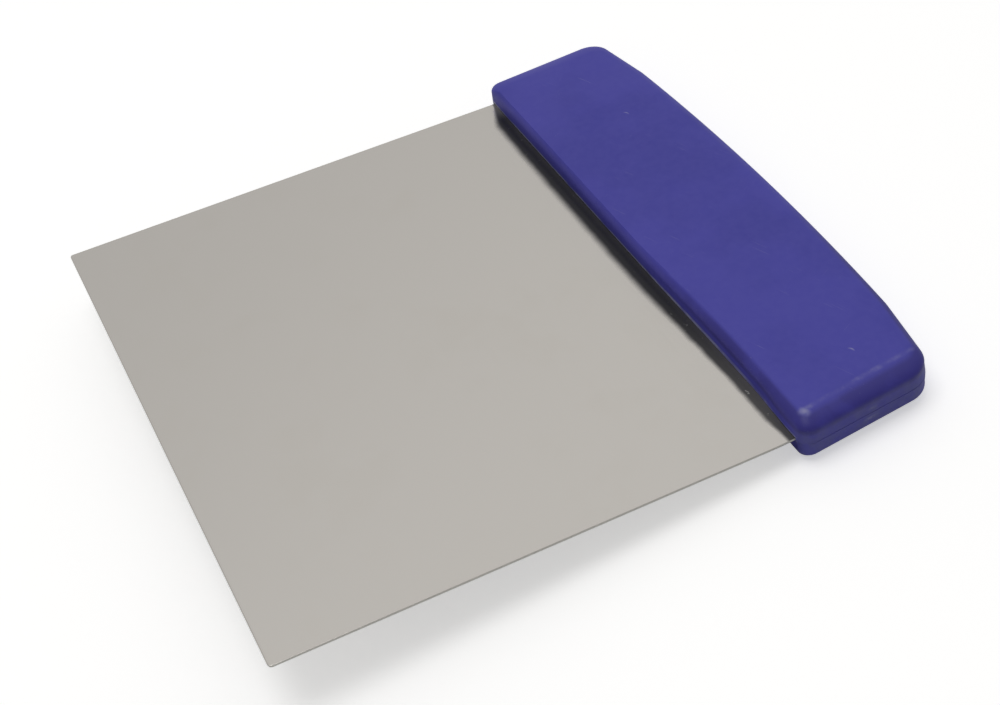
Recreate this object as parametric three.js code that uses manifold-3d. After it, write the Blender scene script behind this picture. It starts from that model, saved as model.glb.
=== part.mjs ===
// Flexible putty knife: a thin spring-steel blade clamped by its tang between the two moulded
// shells of a wide handle. Four short thread-forming screws go in from the underside, through
// the tang, and into blind bosses under the top shell.
//
// Millimetres, +Z up. The origin is the middle of the handle's flat underside. +X runs along
// the blade's width and the handle's length, and +Y runs from the cutting edge towards the back
// of the handle. Each piece is drawn from the middle of the mouth, on the parting plane between
// the shells, and the whole group is then moved to put the origin on the underside.
import * as THREE from "three";
import { mergeVertices } from "three/addons/utils/BufferGeometryUtils.js";
import Module from "manifold-3d";

const wasm = await Module();
wasm.setup();

// ---- Driving dimensions ----

// Blade
const BLADE_WIDTH = 120;
const BLADE_THICKNESS = 0.5;
const FREE_LENGTH = 95.6; // from the mouth to the cutting edge, along the blade
const TANG_DEPTH = 20; // how far the blade reaches into the handle
const BLADE_RISE = THREE.MathUtils.degToRad(4.8); // the set of the free blade, up from the parting plane
const BEND_RADIUS = 25; // of the blade's centre line, where that set starts
const FLEX_PIVOT = 0.15 * FREE_LENGTH; // where a bending cantilever seems to turn, from the mouth
const FLEX_GAP = 0.3; // between the clamped root and the flexing span

// Handle, in plan
const HANDLE_LENGTH = 125.6; // along the front edge
const END_TAPER = 1; // how much each end leans in by the back corner
const DEPTH_AT_END = 26.7; // front edge to the corner of each end
const DEPTH_AT_KNEE = 29.3; // where the straight slant meets the long arch
const DEPTH_AT_MIDDLE = 30.8; // crown of the arch
const KNEE_X = 44.5;
const FRONT_CORNER_RADIUS = 2.7;
const BACK_CORNER_RADIUS = 5.7;

// Handle, in section
const SHELL_HEIGHT = 4.6; // of each shell, from the parting plane
const EDGE_RADIUS = 2.4; // along the front and the back
const END_ROLL_LENGTH = 4.9; // the longer, flatter roll-off at the two ends
const END_ROLL_HEIGHT = 2.2;
const REST_Y = 15.5; // from the mouth back to the middle of the underside, which is the origin
const WALL = 2.2;
const ROOF = 1.5;
const RIB_THICKNESS = 1.6;
const RIB_PITCH = 16;
const RIB_END_GAP = 0.4; // between the ribs' ends and the walls
const LAST_RIB_X = 56;

// Tongue and rebate that line up the shells behind the tang
const TONGUE_INSET = 1.2;
const TONGUE_HEIGHT = 0.8;
const TONGUE_GAP = 0.2;
const TANG_GAP = 0.3; // at the sides and the back of the tang's recess

// Screws and locating posts, in one row through the tang
const ROW_Y = 10.5;
const SCREW_X = [-48, -16, 16, 48];
const POST_X = [-32, 32];
const SCREW_RADIUS = 1.45;
const SCREW_TIP_Z = 2.9;
const HEAD_RADIUS = 2.75;
const HEAD_HEIGHT = 1.6;
const HEAD_DOME = 0.5;
const COUNTERBORE_RADIUS = 3.1;
const COUNTERBORE_DEPTH = 1.9;
const RECESS_LENGTH = 2.9;
const RECESS_WIDTH = 0.7;
const RECESS_DEPTH = 0.9;
const CLEARANCE_RADIUS = 1.75;
const PILOT_RADIUS = 1.55;
const TANG_HOLE_RADIUS = 1.9;
const TOP_BOSS_RADIUS = 3.4;
const BOTTOM_BOSS_RADIUS = 4.6;
const POST_RADIUS = 2;
const POST_TOP_Z = 2;
const POST_GAP = 0.25;
const POST_ROOT_DEPTH = 0.5; // how far a post or boss runs into the floor that carries it

const ROUND_SEGMENTS = 28;
const EDGE_SEGMENTS = 5;
const ARC_POINTS = 5;
const ARCH_POINTS = 16;

// ---- Materials ----

function mouldedPlastic() {
  return new THREE.MeshStandardMaterial({ color: 0x3b3a92, roughness: 0.42, metalness: 0 });
}

function springSteel() {
  return new THREE.MeshStandardMaterial({ color: 0xb8b5ae, roughness: 0.22, metalness: 1 });
}

function zincPlate() {
  return new THREE.MeshStandardMaterial({ color: 0xa9abad, roughness: 0.35, metalness: 1 });
}

// ---- Solids ----

function solidOf(geometry) {
  geometry.deleteAttribute("normal");
  geometry.deleteAttribute("uv");
  const merged = mergeVertices(geometry, 1e-4);
  return new wasm.Manifold(
    new wasm.Mesh({
      numProp: 3,
      vertProperties: merged.getAttribute("position").array,
      triVerts: new Uint32Array(merged.index.array),
    }),
  );
}

function geometryOf(solid) {
  const mesh = solid.getMesh();
  const geometry = new THREE.BufferGeometry();
  geometry.setAttribute("position", new THREE.BufferAttribute(mesh.vertProperties, mesh.numProp));
  geometry.setIndex(new THREE.BufferAttribute(mesh.triVerts, 1));
  geometry.computeVertexNormals();
  return geometry;
}

function namedMesh(name, solid, material) {
  const mesh = new THREE.Mesh(geometryOf(solid), material);
  mesh.name = name;
  return mesh;
}

function block(x0, x1, y0, y1, z0, z1) {
  const geometry = new THREE.BoxGeometry(x1 - x0, y1 - y0, z1 - z0);
  geometry.translate((x0 + x1) / 2, (y0 + y1) / 2, (z0 + z1) / 2);
  return solidOf(geometry);
}

// An upright round bar in the screw row.
function bar(x, radius, z0, z1) {
  const geometry = new THREE.CylinderGeometry(radius, radius, z1 - z0, ROUND_SEGMENTS);
  geometry.rotateX(Math.PI / 2);
  geometry.translate(x, ROW_Y, (z0 + z1) / 2);
  return solidOf(geometry);
}

// A flat prism over a plan outline, between two heights.
function prism(points, z0, z1) {
  const geometry = new THREE.ExtrudeGeometry(new THREE.Shape(points), {
    depth: z1 - z0,
    bevelEnabled: false,
  });
  geometry.translate(0, 0, z0);
  return solidOf(geometry);
}

// ---- Handle outline ----

// The points of an arc that rounds the corner at b, between the lines a-b and b-c.
function roundedCorner(a, b, c, radius) {
  const back = a.clone().sub(b).normalize();
  const on = c.clone().sub(b).normalize();
  const halfAngle = Math.acos(back.dot(on)) / 2;
  const middle = back.clone().add(on).normalize();
  const centre = b.clone().addScaledVector(middle, radius / Math.sin(halfAngle));
  const start = b.clone().addScaledVector(back, radius / Math.tan(halfAngle)).sub(centre);
  const turn = Math.PI - 2 * halfAngle;
  const points = [];
  for (let i = 0; i <= ARC_POINTS; i++) {
    const step = start.clone().rotateAround(new THREE.Vector2(), (turn * i) / ARC_POINTS);
    points.push(step.add(centre));
  }
  return points;
}

// Counter-clockwise from the middle of the front edge, so that each half mirrors the other.
function handleOutline() {
  const frontCorner = new THREE.Vector2(HANDLE_LENGTH / 2, 0);
  const backCorner = new THREE.Vector2(HANDLE_LENGTH / 2 - END_TAPER, DEPTH_AT_END);
  const knee = new THREE.Vector2(KNEE_X, DEPTH_AT_KNEE);
  const rightEnd = [
    ...roundedCorner(new THREE.Vector2(0, 0), frontCorner, backCorner, FRONT_CORNER_RADIUS),
    ...roundedCorner(frontCorner, backCorner, knee, BACK_CORNER_RADIUS),
  ];
  const crown = DEPTH_AT_MIDDLE - DEPTH_AT_KNEE;
  const archRadius = (KNEE_X ** 2 + crown ** 2) / (2 * crown);
  const halfSweep = Math.asin(KNEE_X / archRadius);
  const arch = [];
  for (let i = 0; i <= ARCH_POINTS; i++) {
    const angle = halfSweep * (1 - (2 * i) / ARCH_POINTS);
    const y = DEPTH_AT_MIDDLE - archRadius * (1 - Math.cos(angle));
    arch.push(new THREE.Vector2(archRadius * Math.sin(angle), y));
  }
  const leftEnd = rightEnd.map((p) => new THREE.Vector2(-p.x, p.y)).reverse();
  return [...rightEnd, ...arch, ...leftEnd];
}

// The same outline, moved inwards by a distance all round.
function insetOutline(distance) {
  const outline = handleOutline();
  return outline.map((point, i) => {
    const before = outline[(i + outline.length - 1) % outline.length];
    const after = outline[(i + 1) % outline.length];
    const edgeIn = point.clone().sub(before).normalize();
    const edgeOut = after.clone().sub(point).normalize();
    const inward = new THREE.Vector2(-edgeIn.y - edgeOut.y, edgeIn.x + edgeOut.x);
    inward.normalize();
    const squareIn = new THREE.Vector2(-edgeIn.y, edgeIn.x);
    return point.clone().addScaledVector(inward, distance / inward.dot(squareIn));
  });
}

// ---- Handle shells ----

// Both shells closed together and solid: the plan outline with rounded edges, cut by a front
// view whose ends roll off.
function closedHandle() {
  const depth = 2 * (SHELL_HEIGHT - EDGE_RADIUS);
  const plan = new THREE.ExtrudeGeometry(new THREE.Shape(handleOutline()), {
    depth,
    bevelThickness: EDGE_RADIUS,
    bevelSize: EDGE_RADIUS,
    bevelOffset: -EDGE_RADIUS,
    bevelSegments: EDGE_SEGMENTS,
  });
  plan.translate(0, 0, -depth / 2);

  const halfLength = HANDLE_LENGTH / 2;
  const rollX = halfLength - END_ROLL_LENGTH;
  const rollZ = SHELL_HEIGHT - END_ROLL_HEIGHT;
  const view = new THREE.Shape();
  const quarter = Math.PI / 2;
  const corners = [[1, -1], [1, 1], [-1, 1], [-1, -1]];
  corners.forEach(([sx, sz], i) => {
    const from = (i - 1) * quarter;
    view.absellipse(sx * rollX, sz * rollZ, END_ROLL_LENGTH, END_ROLL_HEIGHT, from, from + quarter);
  });
  view.closePath();
  const front = new THREE.ExtrudeGeometry(view, {
    depth: DEPTH_AT_MIDDLE + 2,
    bevelEnabled: false,
    curveSegments: EDGE_SEGMENTS + 3,
  });
  front.rotateX(Math.PI / 2);
  front.translate(0, DEPTH_AT_MIDDLE + 1, 0);
  return solidOf(plan).intersect(solidOf(front));
}

// The room for the tang, which both shells leave.
function tangRecess() {
  const halfWidth = BLADE_WIDTH / 2 + TANG_GAP;
  const halfThickness = BLADE_THICKNESS / 2;
  return block(-halfWidth, halfWidth, -1, TANG_DEPTH + TANG_GAP, -halfThickness, halfThickness);
}

// Cross ribs under the roof, from inside the front wall to inside the back wall.
function ribs(z0, z1) {
  const halfRib = RIB_THICKNESS / 2;
  let grid = block(-HANDLE_LENGTH / 2, HANDLE_LENGTH / 2, TANG_DEPTH - RIB_THICKNESS, TANG_DEPTH, z0, z1);
  for (let x = -LAST_RIB_X; x <= LAST_RIB_X; x += RIB_PITCH) {
    grid = grid.add(block(x - halfRib, x + halfRib, 0, DEPTH_AT_MIDDLE, z0, z1));
  }
  return grid.intersect(prism(insetOutline(WALL + RIB_END_GAP), z0, z1));
}

// The outer half and its hollow, before bosses: the top shell with side 1, the bottom with -1.
function hollowShell(side) {
  const reach = HANDLE_LENGTH;
  const span = (low, high) => (side > 0 ? [low, high] : [-high, -low]);
  const half = closedHandle().intersect(block(-reach, reach, -reach, reach, ...span(0, reach)));
  const ceiling = SHELL_HEIGHT - ROOF;
  const cavity = prism(insetOutline(WALL), ...span(-1, ceiling));
  const lattice = ribs(...span(BLADE_THICKNESS / 2, ceiling + POST_ROOT_DEPTH));
  return half.subtract(cavity.subtract(lattice));
}

// Everything further back than y, a little above and below the parting plane.
function behind(y) {
  return block(-HANDLE_LENGTH, HANDLE_LENGTH, y, HANDLE_LENGTH, -WALL, WALL);
}

function topShell() {
  const ceiling = SHELL_HEIGHT - ROOF;
  const rebate = prism(insetOutline(TONGUE_INSET - TONGUE_GAP), -1, TONGUE_HEIGHT + TONGUE_GAP);
  let shell = hollowShell(1).subtract(rebate.intersect(behind(TANG_DEPTH + TANG_GAP)));
  for (const x of SCREW_X) {
    shell = shell.add(bar(x, TOP_BOSS_RADIUS, 0, ceiling + POST_ROOT_DEPTH));
    shell = shell.subtract(bar(x, PILOT_RADIUS, -1, SCREW_TIP_Z + TANG_GAP));
  }
  for (const x of POST_X) {
    shell = shell.add(bar(x, POST_RADIUS + RIB_THICKNESS, 0, ceiling + POST_ROOT_DEPTH));
    shell = shell.subtract(bar(x, POST_RADIUS + POST_GAP, -1, POST_TOP_Z + POST_GAP));
  }
  return shell.subtract(tangRecess());
}

function bottomShell() {
  const floor = -(SHELL_HEIGHT - ROOF);
  const seat = -SHELL_HEIGHT + COUNTERBORE_DEPTH;
  const ring = prism(insetOutline(TONGUE_INSET), -POST_ROOT_DEPTH, TONGUE_HEIGHT);
  const tongue = ring.subtract(prism(insetOutline(WALL), -1, 1));
  let shell = hollowShell(-1).add(tongue.intersect(behind(TANG_DEPTH + 2 * TANG_GAP)));
  for (const x of SCREW_X) {
    shell = shell.add(bar(x, BOTTOM_BOSS_RADIUS, floor - POST_ROOT_DEPTH, 0));
    shell = shell.subtract(bar(x, CLEARANCE_RADIUS, -SHELL_HEIGHT, 1));
    shell = shell.subtract(bar(x, COUNTERBORE_RADIUS, -SHELL_HEIGHT - 1, seat));
  }
  shell = shell.subtract(tangRecess());
  for (const x of POST_X) {
    shell = shell.add(bar(x, POST_RADIUS, floor - POST_ROOT_DEPTH, POST_TOP_Z));
  }
  return shell;
}

// ---- Blade ----

// The centre line of the blade at a distance in front of the mouth: behind it the line is
// level, then it turns up through a short arc, and then it runs straight to the cutting edge.
function bladePoint(distance) {
  const arc = BEND_RADIUS * BLADE_RISE;
  const angle = THREE.MathUtils.clamp(distance / BEND_RADIUS, 0, BLADE_RISE);
  const straight = Math.max(0, distance - arc);
  const level = Math.min(0, distance);
  const y = -(level + BEND_RADIUS * Math.sin(angle) + straight * Math.cos(BLADE_RISE));
  const z = BEND_RADIUS * (1 - Math.cos(angle)) + straight * Math.sin(BLADE_RISE);
  return { y, z, angle };
}

// A strip of the blade's sheet between distances in front of the mouth, full width.
function bladeStrip(distances) {
  const half = BLADE_THICKNESS / 2;
  const faceOf = (side) => (distance) => {
    const { y, z, angle } = bladePoint(distance);
    return new THREE.Vector2(y + side * half * Math.sin(angle), z + side * half * Math.cos(angle));
  };
  const outline = [...distances.map(faceOf(1)), ...distances.map(faceOf(-1)).reverse()];
  const geometry = new THREE.ExtrudeGeometry(new THREE.Shape(outline), {
    depth: BLADE_WIDTH,
    bevelEnabled: false,
  });
  // The section is drawn as (Y, Z) and extruded along X.
  geometry.applyMatrix4(new THREE.Matrix4().set(0, 0, 1, -BLADE_WIDTH / 2, 1, 0, 0, 0, 0, 1, 0, 0, 0, 0, 0, 1));
  return solidOf(geometry);
}

// The tang, its holes, the slight bend and the stiff strip next to the mouth.
function clampedRoot() {
  const arc = BEND_RADIUS * BLADE_RISE;
  const distances = [-TANG_DEPTH, 0, arc / 2, arc, FLEX_PIVOT - FLEX_GAP / 2];
  let root = bladeStrip(distances);
  for (const x of SCREW_X) {
    root = root.subtract(bar(x, TANG_HOLE_RADIUS, -1, 1));
  }
  for (const x of POST_X) {
    root = root.subtract(bar(x, POST_RADIUS + POST_GAP, -1, 1));
  }
  return root;
}

function flexingSpan() {
  return bladeStrip([FLEX_PIVOT + FLEX_GAP / 2, FREE_LENGTH]);
}

// ---- Screws ----

// A pan-head screw, drawn about its own axis with the head down and the tip up.
function handleScrew(x) {
  const seat = -SHELL_HEIGHT + COUNTERBORE_DEPTH;
  const headBottom = seat - HEAD_HEIGHT;
  const profile = [
    new THREE.Vector2(0, headBottom),
    new THREE.Vector2(HEAD_RADIUS - 2 * HEAD_DOME, headBottom),
    new THREE.Vector2(HEAD_RADIUS - HEAD_DOME / 2, headBottom + HEAD_DOME / 2),
    new THREE.Vector2(HEAD_RADIUS, headBottom + 2 * HEAD_DOME),
    new THREE.Vector2(HEAD_RADIUS, seat),
    new THREE.Vector2(SCREW_RADIUS, seat),
    new THREE.Vector2(SCREW_RADIUS, SCREW_TIP_Z - SCREW_RADIUS / 2),
    new THREE.Vector2(SCREW_RADIUS / 2, SCREW_TIP_Z),
    new THREE.Vector2(0, SCREW_TIP_Z),
  ];
  const turned = new THREE.LatheGeometry(profile, ROUND_SEGMENTS);
  turned.rotateX(Math.PI / 2);
  turned.translate(x, ROW_Y, 0);
  const halfLength = RECESS_LENGTH / 2;
  const halfWidth = RECESS_WIDTH / 2;
  const top = headBottom + RECESS_DEPTH;
  const along = block(x - halfLength, x + halfLength, ROW_Y - halfWidth, ROW_Y + halfWidth, headBottom - 1, top);
  const across = block(x - halfWidth, x + halfWidth, ROW_Y - halfLength, ROW_Y + halfLength, headBottom - 1, top);
  return solidOf(turned).subtract(along.add(across));
}

// ---- The assembly ----

const knife = new THREE.Group();
knife.add(namedMesh("handle_top_shell", topShell(), mouldedPlastic()));
knife.add(namedMesh("handle_bottom_shell", bottomShell(), mouldedPlastic()));
knife.add(namedMesh("blade_clamped_root", clampedRoot(), springSteel()));
knife.add(namedMesh("blade_flexing_span", flexingSpan(), springSteel()));
SCREW_X.forEach((x, i) => {
  knife.add(namedMesh(`handle_screw_${i + 1}`, handleScrew(x), zincPlate()));
});

knife.position.set(0, -REST_Y, SHELL_HEIGHT);

export default knife;
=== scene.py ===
"""The flexible putty knife's looks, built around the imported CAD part.

Metres, in the part's own frame: +X runs along the blade's width, +Y towards the back of the
handle and +Z out of the handle's top face. The origin is the middle of the handle's underside.
"""

import math

import bmesh
import bpy
from mathutils import Matrix, Vector


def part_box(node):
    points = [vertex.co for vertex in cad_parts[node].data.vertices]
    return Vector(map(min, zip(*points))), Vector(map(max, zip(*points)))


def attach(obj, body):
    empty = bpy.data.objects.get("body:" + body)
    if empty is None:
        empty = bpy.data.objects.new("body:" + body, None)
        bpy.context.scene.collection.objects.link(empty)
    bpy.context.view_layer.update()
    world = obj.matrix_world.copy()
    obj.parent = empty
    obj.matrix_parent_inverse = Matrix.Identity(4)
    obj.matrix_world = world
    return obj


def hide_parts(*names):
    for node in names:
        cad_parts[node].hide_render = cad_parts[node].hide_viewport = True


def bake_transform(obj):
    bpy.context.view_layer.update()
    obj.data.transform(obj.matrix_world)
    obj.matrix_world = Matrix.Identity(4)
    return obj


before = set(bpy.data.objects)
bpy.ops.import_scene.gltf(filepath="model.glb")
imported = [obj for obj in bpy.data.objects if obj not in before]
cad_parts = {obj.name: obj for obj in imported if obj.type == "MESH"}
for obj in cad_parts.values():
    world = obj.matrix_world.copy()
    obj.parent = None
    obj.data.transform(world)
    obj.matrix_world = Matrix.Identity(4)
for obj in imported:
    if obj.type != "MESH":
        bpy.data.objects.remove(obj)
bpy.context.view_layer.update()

MM = 0.001

# ---- Places taken from the frame ----

top_low, top_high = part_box("handle_top_shell")
root_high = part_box("blade_clamped_root")[1]
SCREWS = sorted(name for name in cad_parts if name.startswith("handle_screw"))

MOUTH_Y = top_low.y
DEPTH = top_high.y - top_low.y
PARTING_Z = top_low.z
SHELL_HEIGHT = top_high.z - PARTING_Z
BLADE_HALF_WIDTH = root_high.x
TANG_DEPTH = root_high.y - MOUTH_Y

# ---- Handle, in plan and in section ----

END_TAPER = 1.0 * MM  # how much each end leans in by the back corner
DEPTH_AT_END = 26.7 * MM
DEPTH_AT_KNEE = 29.3 * MM
KNEE_X = 44.5 * MM
FRONT_CORNER = 2.7 * MM
BACK_CORNER = 5.7 * MM
# Half the handle's length at its front corners, before they are rounded.
HALF_LENGTH = top_high.x + END_TAPER * FRONT_CORNER / DEPTH_AT_END
KNEE_RADIUS = 16 * MM
DRAFT = 0.12 * MM  # how far each wall leans in between the parting line and the roll-off
PARTING_ROUND = 0.13 * MM  # of each shell's edge at the seam

# Each edge rolls off along part of an ellipse, which meets the flat face at a slight crease:
# how far in it starts, how far down it reaches, and how much of the quarter turn it takes.
FRONT_ROLL = (0.8 * MM, 2.3 * MM, math.radians(62))
BACK_ROLL = (2.2 * MM, 2.4 * MM, math.radians(78))
END_ROLL = (3.9 * MM, 2.2 * MM, math.radians(70))
ROLL_STEPS = 12
# How much of the corners' rounding is gone at the top: the front's at the near and far end, and
# both of the back's.
FRONT_SHRINK = (0.75, 0.3)
BACK_SHRINK = 0.45
SHARPEST_CORNER = 0.4 * MM
FLAT_MARGIN = 0.4 * MM  # the flat face's last ring of points, in from the creases
WEAR_SPAN = (2 * MM, 38 * MM)  # where the top shell's front edge goes from crisp to worn round
WORN_ROLL = 1.6 * MM  # how much further in the worn edge starts
WORN_LIP = 0.35 * MM  # how far the worn lip sits back
WEAR_END_SPAN = (46 * MM, 58 * MM)  # where the lip comes forward again, towards the corner
WORN_END = 0.6 * MM  # and by how much
WEAR_DEPTH = 0.4  # how far back the wear reaches, as a share of the depth
END_SPREAD = 0.9 * MM  # how much further in the ends roll off by the back

CORNER_POINTS = 14
ARCH_POINTS = 28
FRONT_POINTS = 24

WALL = 2.2 * MM
ROOF = 1.5 * MM
RIB_THICKNESS = 1.4 * MM
RIB_PITCH = 16 * MM
RIB_NUMBERS = range(-3, 5)
TONGUE_INSET = 1.2 * MM
TONGUE_HEIGHT = 0.8 * MM
TONGUE_GAP = 0.2 * MM
TANG_GAP = 0.3 * MM
LIP_ROUND = 0.3 * MM  # of the mouth's lips
SUNK = 0.5 * MM  # how deep a boss, a post or the tongue runs into the shell it grows from

# ---- Screws and posts ----

POST_X = (-32 * MM, 32 * MM)
POST_RADIUS = 2 * MM
POST_GAP = 0.25 * MM
POST_TOP = 2 * MM
COUNTERBORE_RADIUS = 3.1 * MM
COUNTERBORE_DEPTH = 1.9 * MM
COUNTERBORE_RIM = 0.25 * MM
CLEARANCE_RADIUS = 1.75 * MM
PILOT_RADIUS = 1.55 * MM
TANG_HOLE_RADIUS = 1.9 * MM
TOP_BOSS_RADIUS = 3.4 * MM
BOTTOM_BOSS_RADIUS = 4.6 * MM
SCREW_CORE = 1.1 * MM
SCREW_CREST = 1.45 * MM
SCREW_HEAD_HEIGHT = 1.6 * MM
SCREW_DOME = 1.05 * MM
SCREW_DOME_FULLNESS = 0.8  # below 1 the domed head is flatter in the middle
SCREW_BREAK = 0.08 * MM  # the bevel under the head's rim
SCREW_FILLET = 0.25 * MM  # from the head to the shank
SCREW_TIP = 0.7 * MM
SCREW_POINT = 0.35  # the tip's end, as a share of the core's radius
SCREW_TURN = 0.7  # each screw stops at a different angle, this many radians on from the last
THREAD_PITCH = 1.1 * MM
THREAD_START = 1.2 * MM  # below the head
THREAD_STEPS = 64
RIDGE_SHARE = 0.28  # half the ridge's width, as a share of the pitch
# The cross recess narrows with depth: depth, half length and half width of its two blades.
RECESS = (
    (-0.3 * MM, 1.55 * MM, 0.42 * MM),
    (0.25 * MM, 1.45 * MM, 0.38 * MM),
    (1.05 * MM, 0.45 * MM, 0.2 * MM),
)
ROUND_POINTS = 64

# ---- Blade ----

BLADE_THICKNESS = 0.5 * MM
FREE_LENGTH = 95.6 * MM
BLADE_RISE = math.radians(4.8)
BEND_RADIUS_LEFT = 16 * MM  # the set at the mouth is sharper on the left than on the right
BEND_RADIUS_RIGHT = 60 * MM
SHEAR_ROUND = 0.07 * MM  # the sheared rim's tiny rounding
TIP_CORNERS = (0.5 * MM, 0.8 * MM)  # left, and right where it is a little worn
TANG_CORNER = 2 * MM
BLADE_COLUMNS = 60
BLADE_ROWS = 56
BEND_ZONE = 9 * MM  # rows are closer together here, where the set is
TIP_ZONE = 2 * MM  # and here, by the cutting edge
BLADE_CREASE = 13  # degrees: keeps the sheared rim crisp
RIM_STEEPNESS = 0.6  # a face whose normal rises less than this belongs to the rim

# ---- Camera and light ----

CAMERA_PLACE = Vector((240.5, -113.15, 227.95)) * MM
CAMERA_AZIMUTH = math.radians(74.188)
CAMERA_ELEVATION = math.radians(43.049)
CAMERA_ROLL = math.radians(-14.345)
CAMERA_LENS = 63.72
FLOOR_HALF = 3.0
FLOOR_DROP = 0.15 * MM  # the floor lies this far below the handle's underside
FLOOR_GLOW = 0.5  # lifts the floor towards white for the camera, and lights nothing
BACKDROP = 0.95  # how bright the studio wall looks to the camera
# Each soft patch of the studio's light: towards where, the cosines of its edge and its middle,
# and how bright it is outside and in the middle.
GLOW_BEHIND = ((-0.72, 0.42, 0.6), 0.1, 0.88, 0.2, 0.495)
GLOW_ABOVE = ((-0.45, 0.4, 0.8), 0.85, 0.99, 0.0, 0.12)
KEY_PLACE = Vector((-0.1, -0.2, 1.2))
KEY_AIM = Vector((0, -0.03, 0))
KEY_SIZE = 0.7
KEY_POWER = 3.7

# ---- Colours, in linear light ----

VIOLET_DEEP = (0.06, 0.057, 0.43)
VIOLET_LIGHT = (0.076, 0.071, 0.485)
VIOLET_MOTTLE = (0.11, 0.105, 0.52)
# painted shade for the near end's rolled edges
VIOLET_PAINTED_SHADE = (0.048, 0.041, 0.3)
# pale wear, which is also the painted highlight on the near end's crease and corner
VIOLET_WEAR_AND_HIGHLIGHT = (0.36, 0.36, 0.62)
# a grey tint for the lower end walls
END_WALL_GREY = (0.17, 0.18, 0.19)
# the mouth's lips: partly a dusty deposit, partly a painted highlight
LIP_DUST_AND_HIGHLIGHT = (0.55, 0.56, 0.68)
STEEL = (0.80, 0.77, 0.73)
STEEL_SMUDGED = (0.74, 0.705, 0.64)
# near black, for the band on the blade by the mouth: some old filler, mostly painted shade
FILLER_AND_SHADE = (0.012, 0.012, 0.017)
FILLER_SPECK = (0.4, 0.4, 0.38)
SHEARED_DULL = (0.5, 0.49, 0.46)
SHEARED_BRIGHT = (0.86, 0.85, 0.8)
ZINC = (0.62, 0.64, 0.66)
ZINC_BLOOM = (0.5, 0.5, 0.47)
FLOOR_GREY = (0.86, 0.86, 0.855)
FLOOR_WHITE = (0.89, 0.89, 0.885)
STUDIO_WHITE = (1.0, 0.99, 0.975)

# ---- Roughness and shine ----

PLASTIC_ROUGHNESS = (0.42, 0.52)
PLASTIC_IOR = 1.49
PLASTIC_SPECULAR = 0.4
STEEL_ROUGHNESS = (0.2, 0.24)
SHADE_BAND_SPECULAR = 0.25
SHEARED_ROUGHNESS = (0.28, 0.45)
ZINC_ROUGHNESS = (0.26, 0.42)
FLOOR_ROUGHNESS = 0.75

# ---- Marks on the handle, in millimetres of the part's frame ----

TOP_FACE = (PARTING_Z + SHELL_HEIGHT) / MM
SEAM = PARTING_Z / MM
MOUTH = MOUTH_Y / MM
BLADE_EDGE = BLADE_HALF_WIDTH / MM
END_CREASE = (HALF_LENGTH - DRAFT - END_ROLL[0]) / MM + 0.25
# Each nick: its place, half length, half width and angle.
TOP_NICKS = (((-33, 3.3, 0), 0.9, 0.22, 0.5), ((51.5, 1.6, 0), 0.9, 0.26, 0.42))
# The near front corner's pale spot, worn and a painted highlight, in the form of a nick.
CORNER_WEAR_AND_HIGHLIGHT = ((END_CREASE + 0.1, MOUTH + 2.6, 0), 1.6, 1.1, 0.6)
# Each graze on the near end's wall: its middle in y, half length, height above the seam, half
# height and strength.
GRAZES = ((-2.0, 2.0, -1.1, 0.6, 1.0), (-1.6, 1.6, 1.0, 0.5, 0.5))
# Each set of scuffs: angle, length, where the noise starts to show, and seed.
SCUFFS = ((0.35, 9, 0.72, 3), (-1.1, 6, 0.735, 11))
SCUFF_ASPECT = 60  # how many times longer than wide a scuff is
NICK_CURL = 0.35

# ---- The dark band on the blade along the mouth, old filler and painted shade, in millimetres ----

SHADE_BAND_REACH = (3.3, 1.95)  # at the crisp and at the worn part of the handle's edge
SHADE_BAND_DENSITY = (0.985, 0.89)  # likewise
# Where the band narrows besides: from one x to another, and its share of the reach at each.
SHADE_BAND_TAPERS = ((-50, -25, 0.92, 1.0), (-60.5, -51, 0.12, 1.0), (52, 60, 1.0, 0.7))


# ---- Mesh helpers ----


def new_object(name, vertices, faces):
    mesh = bpy.data.meshes.new(name)
    mesh.from_pydata([tuple(v) for v in vertices], [], faces)
    work = bmesh.new()
    work.from_mesh(mesh)
    bmesh.ops.recalc_face_normals(work, faces=work.faces)
    work.to_mesh(mesh)
    work.free()
    obj = bpy.data.objects.new(name, mesh)
    bpy.context.scene.collection.objects.link(obj)
    return obj


def loft(name, rings):
    """A closed solid through rings of equally many points, with a flat cap at each end."""
    count = len(rings[0])
    vertices = [point for ring in rings for point in ring]
    faces = [tuple(reversed(range(count)))]
    for level in range(len(rings) - 1):
        low = level * count
        high = low + count
        for i in range(count):
            j = (i + 1) % count
            faces.append((low + i, low + j, high + j, high + i))
    faces.append(tuple(range(len(vertices) - count, len(vertices))))
    return new_object(name, vertices, faces)


def prism(ring, z0, z1):
    """A flat prism over a plan ring, between two heights above the parting plane."""
    levels = (PARTING_Z + z0, PARTING_Z + z1)
    return loft("prism", [[Vector((x, y, z)) for x, y in ring] for z in levels])


def block(x0, x1, y0, y1, z0, z1):
    """A box whose y counts from the mouth and whose z counts from the parting plane."""
    y0 += MOUTH_Y
    y1 += MOUTH_Y
    return prism([(x0, y0), (x1, y0), (x1, y1), (x0, y1)], z0, z1)


def beside(centre, radius, angle, z):
    """The point at a radius and an angle about an upright axis."""
    return Vector((centre.x + radius * math.cos(angle), centre.y + radius * math.sin(angle), z))


def turned(centre, profile):
    """A solid of revolution about an upright axis, through (radius, z) points in order."""
    angles = [2 * math.pi * i / ROUND_POINTS for i in range(ROUND_POINTS)]
    return loft("turned", [[beside(centre, radius, a, z) for a in angles] for radius, z in profile])


def bar(centre, radius, z0, z1):
    return turned(centre, [(radius, PARTING_Z + z0), (radius, PARTING_Z + z1)])


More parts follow.
